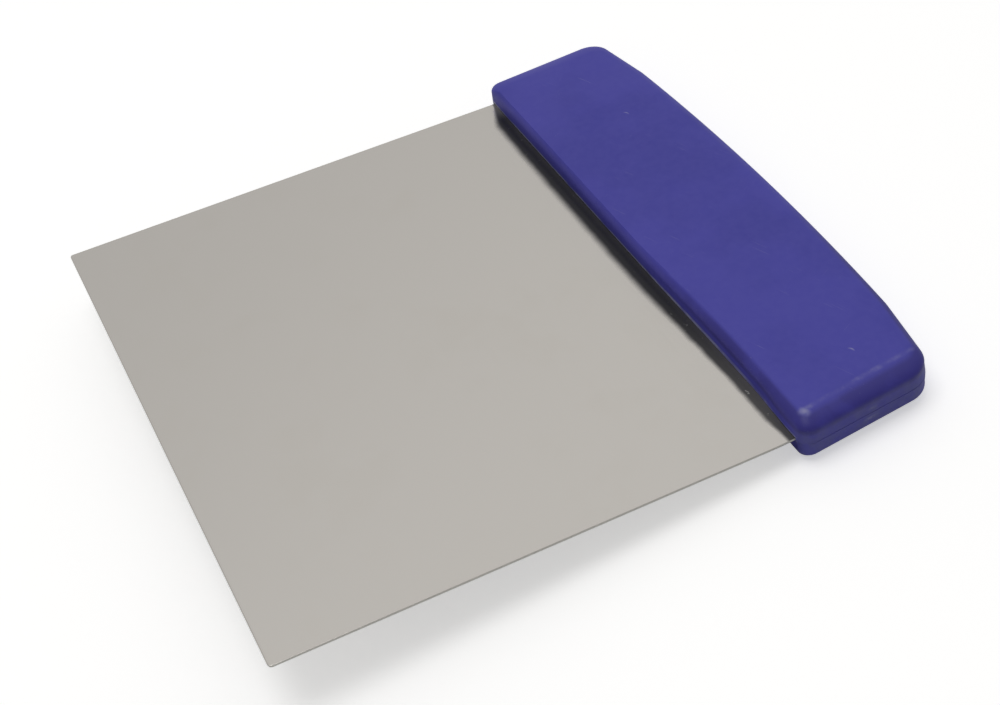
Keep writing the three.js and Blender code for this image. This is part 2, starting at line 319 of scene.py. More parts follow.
def apply_modifiers(obj):
    depsgraph = bpy.context.evaluated_depsgraph_get()
    mesh = bpy.data.meshes.new_from_object(obj.evaluated_get(depsgraph))
    obj.modifiers.clear()
    obj.data = mesh


def combine(base, other, operation):
    """Cuts, joins or keeps the overlap of base with another solid, which is used up."""
    modifier = base.modifiers.new("combine", "BOOLEAN")
    modifier.operation = operation
    modifier.solver = "MANIFOLD"
    modifier.object = other
    apply_modifiers(base)
    bpy.data.objects.remove(other)
    return base


def cut(base, other):
    return combine(base, other, "DIFFERENCE")


def join(base, other):
    return combine(base, other, "UNION")


def overlap(base, other):
    return combine(base, other, "INTERSECT")


def finish_piece(obj, name, materials, crease=34):
    """Gives a piece its name, materials and shading, which is smooth up to a crease angle in degrees.

    It also stores each point's place at rest in millimetres, which the materials read.
    """
    obj.name = name
    mesh = obj.data
    mesh.name = name
    mesh.materials.clear()
    for material in materials:
        mesh.materials.append(material)
    mesh.shade_smooth()
    mesh.set_sharp_from_angle(angle=math.radians(crease))
    place = mesh.attributes.new("rest_place", "FLOAT_VECTOR", "POINT")
    for item, vertex in zip(place.data, mesh.vertices):
        item.vector = vertex.co / MM
    weighted = obj.modifiers.new("weighted normals", "WEIGHTED_NORMAL")
    weighted.keep_sharp = True
    return obj


# ---- Handle outline ----


def arc_between(a, b, c, radius, points):
    """The arc that rounds the corner at b, between the lines a-b and b-c."""
    back = (a - b).normalized()
    on = (c - b).normalized()
    half_angle = back.angle(on) / 2
    centre = b + (back + on).normalized() * (radius / math.sin(half_angle))
    start = b + back * (radius / math.tan(half_angle)) - centre
    sweep = math.pi - 2 * half_angle
    return [centre + Matrix.Rotation(sweep * i / points, 2) @ start for i in range(points + 1)]


def handle_ring(front=0.0, back=0.0, end=0.0, front_corner=FRONT_CORNER, back_corner=BACK_CORNER):
    """The handle's plan as (x, y, endness) points, each side moved in by its own distance.

    Endness is 0 along the front and the back, 1 along each end, and in between round a corner.
    """
    lean = END_TAPER / DEPTH_AT_END
    slant = (DEPTH_AT_KNEE - DEPTH_AT_END) / (HALF_LENGTH - END_TAPER - KNEE_X)
    back_y = (DEPTH_AT_KNEE - back + slant * (KNEE_X - HALF_LENGTH + end)) / (1 - slant * lean)
    middle = Vector((0, front))
    near = Vector((HALF_LENGTH - end - lean * front, front))
    far = Vector((HALF_LENGTH - end - lean * back_y, back_y))
    knee = Vector((KNEE_X, DEPTH_AT_KNEE - back))
    crown = DEPTH - DEPTH_AT_KNEE
    arch_radius = (KNEE_X**2 + crown**2) / (2 * crown)
    half_sweep = math.asin(KNEE_X / arch_radius)

    def on_arch(share):
        angle = half_sweep * share
        fall = arch_radius * (1 - math.cos(angle))
        return Vector((arch_radius * math.sin(angle), DEPTH - back - fall))

    front_arc = arc_between(middle, near, far, front_corner, CORNER_POINTS)
    back_arc = arc_between(near, far, knee, back_corner, CORNER_POINTS)
    knee_arc = arc_between(far, knee, on_arch(0.9), KNEE_RADIUS, 4)
    half = [(middle.lerp(front_arc[0], i / FRONT_POINTS), 0.0) for i in range(1, FRONT_POINTS)]
    half += [(point, i / CORNER_POINTS) for i, point in enumerate(front_arc)]
    half += [(front_arc[-1].lerp(back_arc[0], share), 1.0) for share in (0.2, 0.4, 0.6, 0.8)]
    half += [(point, 1 - i / CORNER_POINTS) for i, point in enumerate(back_arc)]
    half += [(back_arc[-1].lerp(knee_arc[0], share), 0.0) for share in (0.25, 0.5, 0.75)]
    half += [(point, 0.0) for point in knee_arc]
    half += [(on_arch(0.95 * (1 - i / ARCH_POINTS)), 0.0) for i in range(ARCH_POINTS)]
    ring = [(0.0, middle.y, 0.0)]
    ring += [(point.x, point.y, endness) for point, endness in half]
    ring += [(0.0, DEPTH - back, 0.0)]
    ring += [(-point.x, point.y, endness) for point, endness in reversed(half)]
    return [(x, MOUTH_Y + y, endness) for x, y, endness in ring]


def plan(inset):
    """The handle's plan, moved in by one distance all round."""
    corners = (max(FRONT_CORNER - inset, SHARPEST_CORNER), BACK_CORNER - inset)
    return [(x, y) for x, y, _ in handle_ring(inset, inset, inset, *corners)]


# ---- Handle shells ----


def smooth_share(value, low, high):
    share = min(max((value - low) / (high - low), 0), 1)
    return share * share * (3 - 2 * share)


def roll_off(roll, share):
    """How far in and how high an edge's section is, from its foot (share 0) to the flat face (1)."""
    reach, height, turn = roll
    angle = turn * share
    inset = DRAFT + reach * (1 - math.cos(angle)) / (1 - math.cos(turn))
    return inset, SHELL_HEIGHT - height * (1 - math.sin(angle) / math.sin(turn))


def outer_half(side):
    """One shell's outside as a full solid: side 1 is the top shell and -1 the bottom one.

    Only the top shell's front edge is worn.
    """
    rings = []

    def add_ring(sections, turn):
        (front, front_rise), (back, back_rise), (end, end_rise) = sections
        back_corner = BACK_CORNER * (1 - BACK_SHRINK * turn)
        near_corner, far_corner = (FRONT_CORNER * (1 - share * turn) for share in FRONT_SHRINK)
        near = handle_ring(front, back, end, near_corner, back_corner)
        far = handle_ring(front, back, end, far_corner, back_corner)
        level = []
        for near_point, far_point in zip(near, far):
            x, y, endness = near_point if near_point[0] > 0 else far_point
            forward = max(0.0, 1 - (y - MOUTH_Y) / (WEAR_DEPTH * DEPTH))
            worn = forward * smooth_share(x, *WEAR_SPAN) if side > 0 else 0.0
            rolled = max(0.0, end - DRAFT) / END_ROLL[0] if turn > 0 else 0.0
            x -= math.copysign(END_SPREAD, x) * rolled * endness * (y - MOUTH_Y) / DEPTH
            y += worn * (WORN_LIP * (1 - turn) + WORN_ROLL * front / (FRONT_ROLL[0] + DRAFT))
            y -= worn * WORN_END * (1 - turn) * smooth_share(x, *WEAR_END_SPAN)
            side_rise = front_rise if forward > 0 else back_rise
            rise = side_rise * (1 - endness) + end_rise * endness
            level.append(Vector((x, y, PARTING_Z + side * rise)))
        rings.append(level)

    # The edge at the seam, then the roll-off, then the flat face.
    for i in range(4):
        angle = math.pi / 6 * i
        rise = PARTING_ROUND * (1 - math.cos(angle))
        inset = PARTING_ROUND * (1 - math.sin(angle))
        add_ring([(inset, rise)] * 3, 0)
    rolls = (FRONT_ROLL, BACK_ROLL, END_ROLL)
    for i in range(ROLL_STEPS + 1):
        share = i / ROLL_STEPS
        add_ring([roll_off(roll, share) for roll in rolls], share)
    add_ring([(DRAFT + roll[0] + FLAT_MARGIN, SHELL_HEIGHT) for roll in rolls], 1)
    return loft("shell", rings)


def rib_grid(z0, z1):
    """Cross ribs from the front wall to the back wall, and one long rib beside the tang's end."""
    half = RIB_THICKNESS / 2
    grid = block(-HALF_LENGTH, HALF_LENGTH, TANG_DEPTH - RIB_THICKNESS, TANG_DEPTH, z0, z1)
    for i in RIB_NUMBERS:
        x = (i - 0.5) * RIB_PITCH
        join(grid, block(x - half, x + half, 0, DEPTH, z0, z1))
    return grid


def hollow_half(side):
    """The shell with its hollow, and the ribs left standing in it."""
    ceiling = SHELL_HEIGHT - ROOF
    cavity = prism(plan(WALL), *sorted((-side * MM, side * ceiling)))
    cut(cavity, rib_grid(*sorted((side * BLADE_THICKNESS / 2, side * (ceiling + MM)))))
    return cut(outer_half(side), cavity)


def mouth_cutter():
    """The slot for the blade, flared at the front by a quarter round on each lip."""
    half = BLADE_THICKNESS / 2
    upper = [(-MM, half + LIP_ROUND)]
    for i in range(7):
        angle = math.pi / 12 * i
        upper.append((LIP_ROUND * (1 - math.cos(angle)), half + LIP_ROUND * (1 - math.sin(angle))))
    upper.append((TANG_DEPTH + TANG_GAP, half))
    outline = upper + [(y, -z) for y, z in reversed(upper)]
    reach = BLADE_HALF_WIDTH + TANG_GAP
    sides = [[(x, MOUTH_Y + y, PARTING_Z + z) for y, z in outline] for x in (-reach, reach)]
    return loft("slot", sides)


def screw_centres():
    return [sum(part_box(name), Vector()) / 2 for name in SCREWS]


def post_centres():
    row_y = screw_centres()[0].y
    return [Vector((x, row_y, PARTING_Z)) for x in POST_X]


def behind_tang(gap):
    """A block behind the tang, for keeping the tongue and its rebate clear of the blade."""
    return block(-HALF_LENGTH, HALF_LENGTH, TANG_DEPTH + gap, DEPTH, -2 * MM, 2 * MM)


def top_shell(material):
    """The top cover: ribs, four screw bosses, two sockets for the posts and a rebate for the tongue."""
    ceiling = SHELL_HEIGHT - ROOF
    shell = hollow_half(1)
    rebate = prism(plan(TONGUE_INSET - TONGUE_GAP), -MM, TONGUE_HEIGHT + TONGUE_GAP)
    cut(shell, overlap(rebate, behind_tang(TANG_GAP)))
    pilot_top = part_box(SCREWS[0])[1].z - PARTING_Z + TANG_GAP
    for centre in screw_centres():
        join(shell, bar(centre, TOP_BOSS_RADIUS, 0, ceiling + SUNK))
        cut(shell, bar(centre, PILOT_RADIUS, -MM, pilot_top))
    for centre in post_centres():
        join(shell, bar(centre, POST_RADIUS + RIB_THICKNESS, 0, ceiling + SUNK))
        cut(shell, bar(centre, POST_RADIUS + POST_GAP, -MM, POST_TOP + POST_GAP))
    cut(shell, mouth_cutter())
    finish_piece(shell, "handle_top_cover", [material])
    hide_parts("handle_top_shell")
    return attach(shell, "handle")


def counterbore(centre):
    """The cutter for a screw head's recess, with a rounded rim at the underside."""
    rim = COUNTERBORE_RIM
    profile = [(COUNTERBORE_RADIUS + rim, -MM)]
    for i in range(5):
        angle = math.pi / 8 * i
        radius = COUNTERBORE_RADIUS + rim * (1 - math.sin(angle))
        profile.append((radius, rim * (1 - math.cos(angle))))
    profile.append((COUNTERBORE_RADIUS, COUNTERBORE_DEPTH))
    return turned(centre, profile)


def bottom_shell(material):
    """The bottom cover: ribs, counterbored screw holes, two posts through the tang and a tongue."""
    inner_floor = -(SHELL_HEIGHT - ROOF)
    shell = hollow_half(-1)
    tongue = prism(plan(TONGUE_INSET), -SUNK, TONGUE_HEIGHT)
    cut(tongue, prism(plan(WALL), -MM, MM))
    join(shell, overlap(tongue, behind_tang(2 * TANG_GAP)))
    for centre in screw_centres():
        join(shell, bar(centre, BOTTOM_BOSS_RADIUS, inner_floor - SUNK, 0))
        cut(shell, bar(centre, CLEARANCE_RADIUS, -SHELL_HEIGHT, MM))
        cut(shell, counterbore(centre))
    cut(shell, mouth_cutter())
    for centre in post_centres():
        join(shell, bar(centre, POST_RADIUS, inner_floor - SUNK, POST_TOP))
    finish_piece(shell, "handle_bottom_cover", [material])
    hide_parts("handle_bottom_shell")
    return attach(shell, "handle")


# ---- Blade ----


def blade_distances():
    """Stations along the blade, in front of the mouth: close together where it bends or ends."""
    tang_corner = [TANG_CORNER * (1 - math.cos(math.pi / 12 * i)) for i in range(7)]
    stations = [-TANG_DEPTH + distance for distance in tang_corner]
    stations += [-TANG_DEPTH + 2 * MM * i for i in range(2, 10)]
    stations += [0.3 * MM * i for i in range(30)]
    step = (FREE_LENGTH - TIP_ZONE - BEND_ZONE) / BLADE_ROWS
    stations += [BEND_ZONE + step * i for i in range(BLADE_ROWS)]
    stations += [FREE_LENGTH - TIP_ZONE + 0.2 * MM * i for i in range(5)]
    stations += [FREE_LENGTH - MM * math.cos(math.pi / 16 * i) for i in range(9)]
    return stations


def blade_point(x, distance, height):
    """A point of the sheet: level in the handle, bent up at the mouth, then straight to the edge."""
    share = 0.5 + 0.5 * x / BLADE_HALF_WIDTH
    radius = BEND_RADIUS_LEFT + (BEND_RADIUS_RIGHT - BEND_RADIUS_LEFT) * share
    angle = min(max(distance / radius, 0), BLADE_RISE)
    straight = max(0.0, distance - radius * BLADE_RISE)
    level = min(0.0, distance)
    y = level + radius * math.sin(angle) + straight * math.cos(BLADE_RISE) - height * math.sin(angle)
    z = radius * (1 - math.cos(angle)) + straight * math.sin(BLADE_RISE) + height * math.cos(angle)
    return Vector((x, MOUTH_Y - y, PARTING_Z + z))


def corner_inset(distance, x):
    """How far the side edge moves in at a rounded corner of the sheet."""
    tip = TIP_CORNERS[0] if x < 0 else TIP_CORNERS[1]
    inset = 0.0
    for left, radius in ((FREE_LENGTH - distance, tip), (distance + TANG_DEPTH, TANG_CORNER)):
        if left < radius:
            inset += radius - math.sqrt(max(radius**2 - (radius - left) ** 2, 0))
    return inset


def blade_ring(distance):
    """The sheet's section at one station: over the top, round the rim and back underneath."""
    half = BLADE_THICKNESS / 2
    from_end = min(FREE_LENGTH - distance, distance + TANG_DEPTH)
    thin = max(0.0, 1 - from_end / SHEAR_ROUND) * SHEAR_ROUND * 0.8
    left = -BLADE_HALF_WIDTH + corner_inset(distance, -1)
    right = BLADE_HALF_WIDTH - corner_inset(distance, 1)
    width = right - left - 2 * SHEAR_ROUND
    inner = [left + SHEAR_ROUND + width * i / BLADE_COLUMNS for i in range(BLADE_COLUMNS + 1)]
    rim = [(0.7 * SHEAR_ROUND, 0.3 * SHEAR_ROUND), (SHEAR_ROUND, SHEAR_ROUND)]
    section = [(x, half - thin) for x in inner]
    section += [(inner[-1] + out, half - thin - down) for out, down in rim]
    section += [(inner[-1] + out, -half + thin + down) for out, down in reversed(rim)]
    section += [(x, -half + thin) for x in reversed(inner)]
    section += [(inner[0] - out, -half + thin + down) for out, down in rim]
    section += [(inner[0] - out, half - thin - down) for out, down in reversed(rim)]
    return [blade_point(x, distance, z) for x, z in section]


def blade(steel, shorn_steel):
    """The whole blade as one sheet, its tang drilled for the screws and the posts.

    It is level in the handle and bent up at the mouth, then straight to the cutting edge.
    """
    sheet = loft("sheet", [blade_ring(distance) for distance in blade_distances()])
    for centre in screw_centres():
        cut(sheet, bar(centre, TANG_HOLE_RADIUS, -MM, MM))
    for centre in post_centres():
        cut(sheet, bar(centre, POST_RADIUS + POST_GAP, -MM, MM))
    finish_piece(sheet, "spring_steel_blade", [steel, shorn_steel], BLADE_CREASE)
    for face in sheet.data.polygons:
        if abs(face.normal.z) < RIM_STEEPNESS:
            face.material_index = 1
    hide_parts("blade_clamped_root", "blade_flexing_span")
    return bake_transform(sheet)


# ---- Screws ----


def screw_ring(centre, radius, z, thread=0.0):
    """A ring of the screw, whose radius follows a helical ridge where there is a thread."""
    ring = []
    for i in range(ROUND_POINTS):
        share = i / ROUND_POINTS
        phase = (z / THREAD_PITCH - share) % 1
        ridge = max(0.0, 1 - abs(phase - 0.5) / RIDGE_SHARE)
        ridged = radius + thread * (SCREW_CREST - SCREW_CORE) * ridge
        ring.append(beside(centre, ridged, 2 * math.pi * share, z))
    return ring


def cross_recess(centre, face_z):
    """The cutter for the cross recess: two tapered blades that narrow towards the bottom."""
    corners = ((-1, -1), (1, -1), (1, 1), (-1, 1))
    wings = []
    for along in (False, True):
        rings = []
        for depth, length, width in RECESS:
            across, up = (length, width) if along else (width, length)
            z = face_z + depth
            rings.append([(centre.x + a * across, centre.y + b * up, z) for a, b in corners])
        wings.append(loft("wing", rings))
    return join(wings[0], wings[1])


def screw(number, node, material):
    """A short self-tapping screw, head down: domed head, threaded shank and cross recess."""
    low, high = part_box(node)
    centre = (low + high) / 2
    head_radius = (high.x - low.x) / 2
    seat = low.z + SCREW_HEAD_HEIGHT
    rings = []
    for i in range(1, 11):
        angle = math.pi / 2 * i / 10
        radius = head_radius * math.sin(angle) ** SCREW_DOME_FULLNESS
        rings.append(screw_ring(centre, radius, low.z + SCREW_DOME * (1 - math.cos(angle))))
    rings.append(screw_ring(centre, head_radius, seat - SCREW_BREAK))
    rings.append(screw_ring(centre, head_radius - SCREW_BREAK, seat))
    rings.append(screw_ring(centre, SCREW_CORE + SCREW_FILLET, seat))
    rings.append(screw_ring(centre, SCREW_CORE, seat + SCREW_FILLET))
    start = seat + THREAD_START
    end = high.z - SCREW_TIP
    for i in range(THREAD_STEPS + 1):
        z = start + (end - start) * i / THREAD_STEPS
        thread = min(1, i / 8, (THREAD_STEPS - i) / 10)
        rings.append(screw_ring(centre, SCREW_CORE, z, thread))
    rings.append(screw_ring(centre, SCREW_POINT * SCREW_CORE, high.z))
    body = loft("screw", rings)
    turn = Matrix.Rotation(SCREW_TURN * number, 4, "Z")
    recess = cross_recess(centre, low.z)
    recess.data.transform(Matrix.Translation(centre) @ turn @ Matrix.Translation(-centre))
    cut(body, recess)
    finish_piece(body, f"shell_screw_{number}", [material])
    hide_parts(node)
    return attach(body, "handle")


# ---- Materials ----


class Finish:
    """A procedural material on the Principled shader, in millimetres of the piece at rest."""

    def __init__(self, name):
        self.material = bpy.data.materials.new(name)
        self.material.use_nodes = True
        self.tree = self.material.node_tree
        self.shader = self.tree.nodes["Principled BSDF"]
        self.place = self.node("ShaderNodeAttribute", attribute_name="rest_place").outputs["Vector"]

    def node(self, kind, **settings):
        made = self.tree.nodes.new(kind)
        for key, value in settings.items():
            setattr(made, key, value)
        return made

    def feed(self, socket, value):
        if isinstance(value, bpy.types.NodeSocket):
            self.tree.links.new(value, socket)
        else:
            socket.default_value = value

    def set(self, name, value):
        self.feed(self.shader.inputs[name], value)

    def math(self, operation, *values):
        made = self.node("ShaderNodeMath", operation=operation)
        for socket, value in zip(made.inputs, values):
            self.feed(socket, value)
        return made.outputs[0]

    def times(self, first, *others):
        """The product of two or more values."""
        for other in others:
            first = self.math("MULTIPLY", first, other)
        return first

    def most(self, first, *others):
        """The greatest of two or more values."""
        for other in others:
            first = self.math("MAXIMUM", first, other)
        return first

    def moved(self, offset=(0, 0, 0), scale=(1, 1, 1), angle=0.0):
        """The place, measured from an offset in turned and scaled axes."""
        made = self.node("ShaderNodeMapping", vector_type="TEXTURE")
        self.feed(made.inputs["Vector"], self.place)
        made.inputs["Location"].default_value = offset
        made.inputs["Rotation"].default_value = (0, 0, angle)
        made.inputs["Scale"].default_value = scale
        return made.outputs[0]

    def noise(self, size, detail=3.0, place=None, roughness=0.55):
        """Noise between 0 and 1, with features about size millimetres across."""
        made = self.node("ShaderNodeTexNoise")
        self.feed(made.inputs["Vector"], place or self.place)
        made.inputs["Scale"].default_value = 1 / size
        made.inputs["Detail"].default_value = detail
        made.inputs["Roughness"].default_value = roughness
        return made.outputs[0]

    def step(self, value, low, high, start=0.0, end=1.0):
        """A smooth step from start to end as value goes from low to high."""
        made = self.node("ShaderNodeMapRange", interpolation_type="SMOOTHSTEP")
        names = ("Value", "From Min", "From Max", "To Min", "To Max")
        for name, setting in zip(names, (value, low, high, start, end)):
            self.feed(made.inputs[name], setting)
        return made.outputs[0]

    def mix(self, factor, a, b):
        made = self.node("ShaderNodeMix", data_type="RGBA")
        self.feed(made.inputs[0], factor)
        self.feed(made.inputs[6], (*a, 1.0) if isinstance(a, tuple) else a)
        self.feed(made.inputs[7], (*b, 1.0) if isinstance(b, tuple) else b)
        return made.outputs[2]

    def axes(self, place=None):
        """A place's x, y and z."""
        made = self.node("ShaderNodeSeparateXYZ")
        self.feed(made.inputs[0], place or self.place)
        return made.outputs

    def band(self, value, centre, half_width):
        """1 at a value, falling to 0 at half_width to each side of it."""
        away = self.math("ABSOLUTE", self.math("SUBTRACT", value, centre))
        return self.step(away, 0.0, half_width, 1.0, 0.0)

    def bump(self, height, distance, normal=None):
        """A normal bent by a height, which counts in distances of so many millimetres."""
        made = self.node("ShaderNodeBump")
        self.feed(made.inputs["Height"], height)
        made.inputs["Distance"].default_value = distance * MM
        if normal is not None:
            self.feed(made.inputs["Normal"], normal)
        return made.outputs[0]

    def scratches(self, angle, size, threshold, seed):
        """Thin streaks along one direction, where a stretched noise peaks."""
        width = size / SCUFF_ASPECT
        place = self.moved(offset=(seed, 2 * seed, 0), scale=(size, width, width), angle=angle)
        return self.step(self.noise(1.0, 1.0, place), threshold, threshold + 0.06)

    def nick(self, centre, half_length, half_width, angle):
        """A short, slightly curled tick in the surface: 1 on it and 0 away from it."""
        x, y, _ = self.axes(self.moved(offset=centre, angle=angle))
        bend = self.times(self.math("POWER", x, 2.0), NICK_CURL / half_length)
        across = self.band(self.math("ADD", y, bend), 0.0, half_width)
        return self.times(across, self.band(x, 0.0, half_length))


def wear_and_highlight_marks(f):
    """Where the plastic is scuffed, worn, nicked or grazed pale, and where the near end's crease and
    corner get a painted highlight, from 0 to 1.
    """
    x, y, z = f.axes()
    on_top = f.step(z, TOP_FACE - 0.6, TOP_FACE - 0.15)

    scuffs = f.most(*[f.scratches(*scuff) for scuff in SCUFFS])
    scuffs = f.times(scuffs, f.step(f.noise(9, 2), 0.5, 0.62))

    # The near end's top crease leans in towards the back, and is painted pale in patches: worn, and a
    # painted highlight where the light catches the crease. The far end's crease is left plain.
    lean = END_TAPER / DEPTH_AT_END + END_SPREAD / DEPTH
    square = f.math("ADD", f.math("ABSOLUTE", x), f.times(f.math("SUBTRACT", y, MOUTH), lean))
    broad = f.step(f.noise(5, 3), 0.4, 0.62, 0.12, 0.8)
    fine = f.step(f.noise(0.7, 4), 0.25, 0.65, 0.5, 1.0)
    crease_wear_and_highlight = f.times(f.band(square, END_CREASE, 0.75), broad, fine)
    # The near front corner: worn pale, and a painted highlight.
    corner = f.times(f.nick(*CORNER_WEAR_AND_HIGHLIGHT), 1.7, f.step(f.noise(0.6, 3), 0.25, 0.55, 0.5, 1.0))
    crease_wear_and_highlight = f.times(f.most(crease_wear_and_highlight, corner), on_top, f.step(x, 0, 10))

    nicks = f.times(f.most(*[f.nick(*nick) for nick in TOP_NICKS]), on_top)

    grazes = []
    for middle, half_length, rise, half_height, strength in GRAZES:
        along = f.band(y, middle, half_length)
        grazes.append(f.times(along, f.band(z, SEAM + rise, half_height), strength))
    on_near_end = f.step(x, 60, 61)
    graze = f.times(f.most(*grazes), on_near_end, f.step(f.noise(0.5, 3), 0.25, 0.5))

    shown = (f.times(scuffs, 0.3), f.times(crease_wear_and_highlight, 0.5), f.times(nicks, 0.7), f.times(graze, 0.5))
    return f.most(*shown)


def violet_plastic():
    """Satin moulded polypropylene, mottled, with scuffs and nicks, painted shade on the near end's
    rolled edges, painted highlights at its crease, its corner and the mouth's lips, and a grey tint on
    the end walls.
    """
    f = Finish("violet_blue_polypropylene")
    x, y, z = f.axes()
    colour = f.mix(f.step(f.noise(22, 3), 0.35, 0.65), VIOLET_DEEP, VIOLET_LIGHT)
    colour = f.mix(f.step(f.noise(1.6, 4), 0.3, 0.7, 0.0, 0.16), colour, VIOLET_MOTTLE)

    # Painted shade: towards the near end, the edges are darkened where they roll off, standing in for
    # the shade that falls there.
    below_crease = f.step(z, TOP_FACE - 0.08, TOP_FACE - 0.45)
    above_wall = f.step(z, TOP_FACE - 3.1, TOP_FACE - 2.2)
    patches = f.step(f.noise(5, 3), 0.3, 0.55, 0.62, 0.95)
    painted_shade = f.times(below_crease, above_wall, f.step(x, 5, 38), patches)
    colour = f.mix(painted_shade, colour, VIOLET_PAINTED_SHADE)

    # Pale wear, with painted highlights on the near end's crease and corner.
    pale = wear_and_highlight_marks(f)
    colour = f.mix(pale, colour, VIOLET_WEAR_AND_HIGHLIGHT)

    # A blotchy grey tint on the lower end walls.
    outward = f.math("ABSOLUTE", x)
    low = f.step(z, SEAM + 3.2, SEAM + 1.6)
    wall_grey = f.times(low, f.step(outward, 58, 61), f.step(f.noise(2.2, 4), 0.3, 0.65, 0.12, 0.3))
    colour = f.mix(wall_grey, colour, END_WALL_GREY)

    # A thin pale line where the mouth's lips touch the blade, fainter towards the near end: partly a
    # dusty deposit, partly a painted highlight on the lips.
    height = f.math("ABSOLUTE", f.math("SUBTRACT", z, SEAM))
    on_lip = f.times(f.step(height, 1.1, 0.65), f.step(y, MOUTH + 1.0, MOUTH + 0.5))
    by_blade = f.step(outward, BLADE_EDGE + 0.6, BLADE_EDGE)
    lip_dust_and_highlight = f.times(on_lip, by_blade, f.step(f.noise(4, 3), 0.3, 0.6, 0.2, 0.65))
    lip_dust_and_highlight = f.times(lip_dust_and_highlight, f.step(x, 25, 45, 1.0, 0.5))
    colour = f.mix(lip_dust_and_highlight, colour, LIP_DUST_AND_HIGHLIGHT)
    f.set("Base Color", colour)

    roughness = f.step(f.noise(14, 3), 0.3, 0.7, *PLASTIC_ROUGHNESS)
    f.set("Roughness", f.math("ADD", roughness, f.times(pale, 0.2)))
    f.set("IOR", PLASTIC_IOR)
    f.set("Specular IOR Level", PLASTIC_SPECULAR)
    grain = f.bump(f.noise(0.22, 2), 0.006)
    waves = f.bump(f.noise(7, 2), 0.02, grain)
    f.set("Normal", f.bump(f.times(pale, -1.0), 0.03, waves))
    return f.material


def filler_and_shade_band(f):
    """How dark the blade is painted along the mouth, from 0 to 1: some old filler, and mostly painted
    shade for the handle's dark reflection and the shade by the mouth.

    It is narrower and thinner where the handle's edge is worn, and it tapers off at both ends.
    """
    x, y, _ = f.axes()
    reach = f.step(x, WEAR_SPAN[0] / MM, WEAR_SPAN[1] / MM + 8, *SHADE_BAND_REACH)
    reach = f.times(reach, *[f.step(x, *taper) for taper in SHADE_BAND_TAPERS])
    away = f.math("SUBTRACT", MOUTH, y)
    ragged = f.times(f.math("SUBTRACT", f.noise(3.5, 3), 0.5), 0.5)
    share = f.math("DIVIDE", f.math("ADD", away, ragged), reach)
    filler_and_shade = f.step(share, 0.7, 1.32, 1.0, 0.0)
    filler_and_shade = f.times(filler_and_shade, f.step(x, 18, 55, *SHADE_BAND_DENSITY))
    filler_and_shade = f.times(filler_and_shade, f.step(share, 0.0, 0.45, 0.96, 1.0))
    return f.times(filler_and_shade, f.step(x, -60, -53, 0.7, 1.0))


def spring_steel():
    """Bright cold-rolled strip: faint rolling grain and smudges, and a dark band along the mouth of old
    filler and painted shade.
    """
    f = Finish("bright_spring_steel")
    x, _, _ = f.axes()
    grain = f.noise(1.0, 3, f.moved(scale=(40, 0.25, 1)))
    smudge = f.step(f.noise(16, 4, roughness=0.6), 0.5, 0.72)
    colour = f.mix(f.times(smudge, 0.16), STEEL, STEEL_SMUDGED)
    # The dark band along the mouth: old filler, and painted shade.
    filler_and_shade = filler_and_shade_band(f)
    specks = f.times(f.step(f.noise(0.9, 4), 0.66, 0.74), f.step(x, 10, 50, 0.1, 0.7))
    f.set("Base Color", f.mix(filler_and_shade, colour, f.mix(specks, FILLER_AND_SHADE, FILLER_SPECK)))
    f.set("Metallic", f.math("SUBTRACT", 1.0, filler_and_shade))
    f.set("Specular IOR Level", SHADE_BAND_SPECULAR)
    roughness = f.step(grain, 0.3, 0.7, *STEEL_ROUGHNESS)
    f.set("Roughness", f.math("ADD", roughness, f.times(smudge, 0.015)))
    f.set("Normal", f.bump(grain, 0.0004))
    return f.material


def shorn_edge_steel():
    """The rim of the sheet, where the shears left fine upright marks and brighter metal."""
    f = Finish("sheared_steel_edge")
    marks = f.noise(0.3, 3, f.moved(scale=(1, 1, 12)))
    f.set("Base Color", f.mix(marks, SHEARED_DULL, SHEARED_BRIGHT))
    f.set("Metallic", 1.0)
    f.set("Roughness", f.step(marks, 0.3, 0.7, *SHEARED_ROUGHNESS))
    f.set("Normal", f.bump(marks, 0.02))
    return f.material


def zinc_plate():
    """Bright zinc plating, dulled in patches by white bloom."""
    f = Finish("bright_zinc_plate")
    bloom = f.step(f.noise(1.1, 4), 0.35, 0.7)
    f.set("Base Color", f.mix(bloom, ZINC, ZINC_BLOOM))
    f.set("Metallic", 1.0)
    f.set("Roughness", f.step(bloom, 0.0, 1.0, *ZINC_ROUGHNESS))
    f.set("Normal", f.bump(f.noise(0.12, 2), 0.006))
    return f.material


def pale_floor():
    """Matt white board, which glows a little to the camera alone."""
    f = Finish("pale_floor")
    f.set("Base Color", f.mix(f.noise(60, 3), FLOOR_GREY, FLOOR_WHITE))
    f.set("Roughness", FLOOR_ROUGHNESS)
    seen = f.node("ShaderNodeLightPath").outputs["Is Camera Ray"]
    f.set("Emission Color", (1.0, 1.0, 1.0, 1.0))
    f.set("Emission Strength", f.times(seen, FLOOR_GLOW))
    return f.material


# ---- Stage ----


def floor():
    """The board that the handle rests on."""
    quarters = ((-1, -1), (1, -1), (1, 1), (-1, 1))
    corners = [(a * FLOOR_HALF, b * FLOOR_HALF, -FLOOR_DROP) for a, b in quarters]
    sheet = new_object("floor", corners, [(0, 1, 2, 3)])
    sheet.data.materials.append(pale_floor())
    sink_below(sheet, blade_point(0, FREE_LENGTH, -BLADE_THICKNESS / 2))


def sink_below(sheet, edge):
    """Lowers the floor with the cutting edge when the blade flexes down past it. Never raises it."""
    follower = bpy.data.objects.new("cutting_edge_place", None)
    bpy.context.scene.collection.objects.link(follower)
    follower.location = edge
    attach(follower, "blade")
    follow = sheet.constraints.new("COPY_LOCATION")
    follow.target = follower
    follow.use_x = False
    follow.use_y = False
    limit = sheet.constraints.new("LIMIT_LOCATION")
    limit.use_max_z = True
    limit.max_z = 0.0


